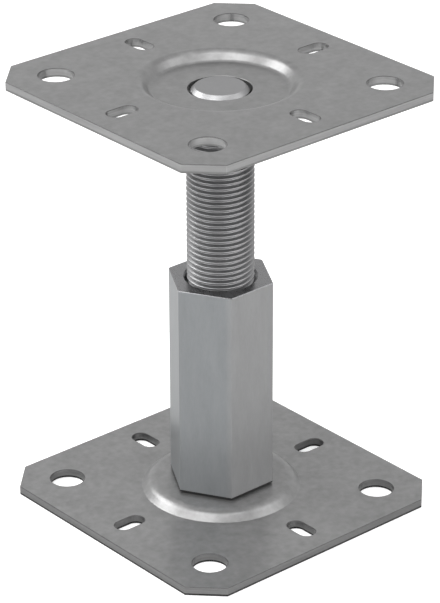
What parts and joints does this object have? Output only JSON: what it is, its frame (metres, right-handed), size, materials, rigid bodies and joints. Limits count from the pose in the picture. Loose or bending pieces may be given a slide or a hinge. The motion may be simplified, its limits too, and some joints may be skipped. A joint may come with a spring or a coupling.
{
  "type": "adjustable post base",
  "caption": "Steel post base: two square stamped plates joined by a screw jack, a threaded rod in a hexagonal sleeve that is turned to set the height.",
  "frame": {"origin": "on the screw's axis, in the underside of the base plate", "axes": "+Z along the screw, up to the post; +X and +Y square to the plates' edges"},
  "size_m": [0.114, 0.114, 0.1623],
  "materials": {
    "plate_steel": "zinc-coated stamped sheet, satin with a faint mottle",
    "sleeve_steel": "zinc-coated drawn hexagon bar, satin",
    "rod_steel": "zinc-coated rolled thread, semi-bright",
    "weld_steel": "zinc-coated weld, satin and rippled"
  },
  "bodies": {
    "base": {"base_plate": "plate_steel"},
    "sleeve": {"hex_sleeve": "sleeve_steel"},
    "post": {"threaded_rod": "rod_steel", "top_plate": "plate_steel", "weld_bead": "weld_steel"}
  },
  "joints": [
    {"name": "post_lift", "type": "slide", "parent": "base", "child": "post", "axis": [0, 0, 1], "range_m": [-0.0485, 0]},
    {"name": "sleeve_turn", "type": "hinge", "parent": "base", "child": "sleeve", "pos_m": [0, 0, 0.0066], "axis": [0, 0, 1], "range_deg": [0, 8730.5]}
  ],
  "couplings": [
    {"joint": "sleeve_turn", "follows": "post_lift", "rad_per_m": -3141.6}
  ]
}
